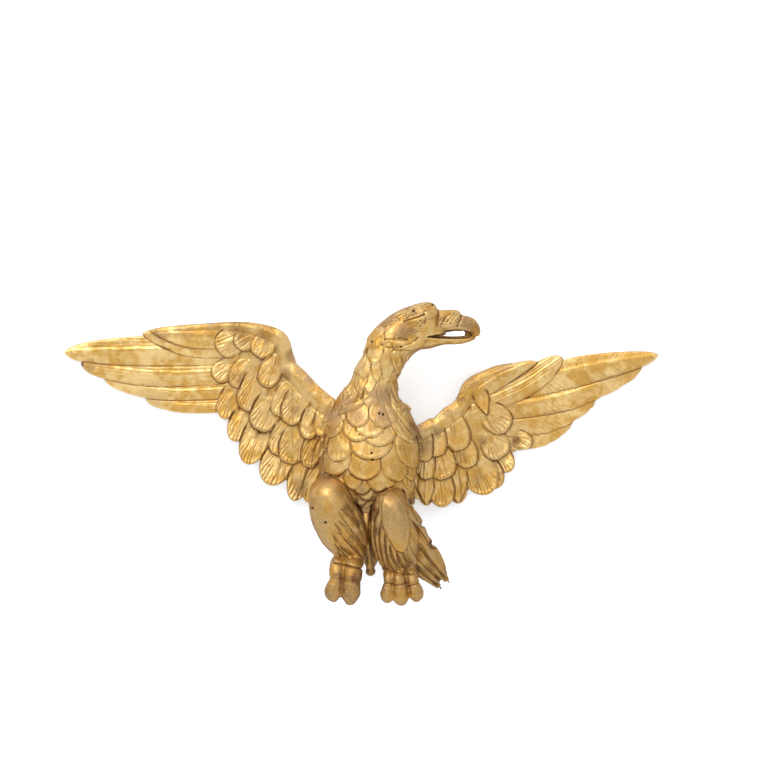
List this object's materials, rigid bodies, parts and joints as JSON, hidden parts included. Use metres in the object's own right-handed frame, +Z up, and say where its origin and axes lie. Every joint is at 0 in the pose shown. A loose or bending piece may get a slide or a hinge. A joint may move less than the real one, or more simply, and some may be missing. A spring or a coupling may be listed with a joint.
{
  "type": "giltwood eagle carving",
  "caption": "carved and gilded eagle with spread wings, its head turned in profile with an open beak and its feet clenched, flat behind, to hang against a wall",
  "frame": {"origin": "on the flat back behind the breast, where the carving meets the wall", "axes": "+Z up, +X to the viewer's right along the span of the wings, +Y into the wall, the front to -Y"},
  "size_m": [0.6532, 0.0997, 0.3305],
  "materials": {
    "gilt_body": "worn gilding over gesso, browned with age",
    "gilt_wing": "satin gold leaf over gesso, brown in the cut lines"
  },
  "bodies": {
    "root": {"body": "gilt_body", "wing_left": "gilt_wing", "wing_right": "gilt_wing"}
  },
  "joints": []
}
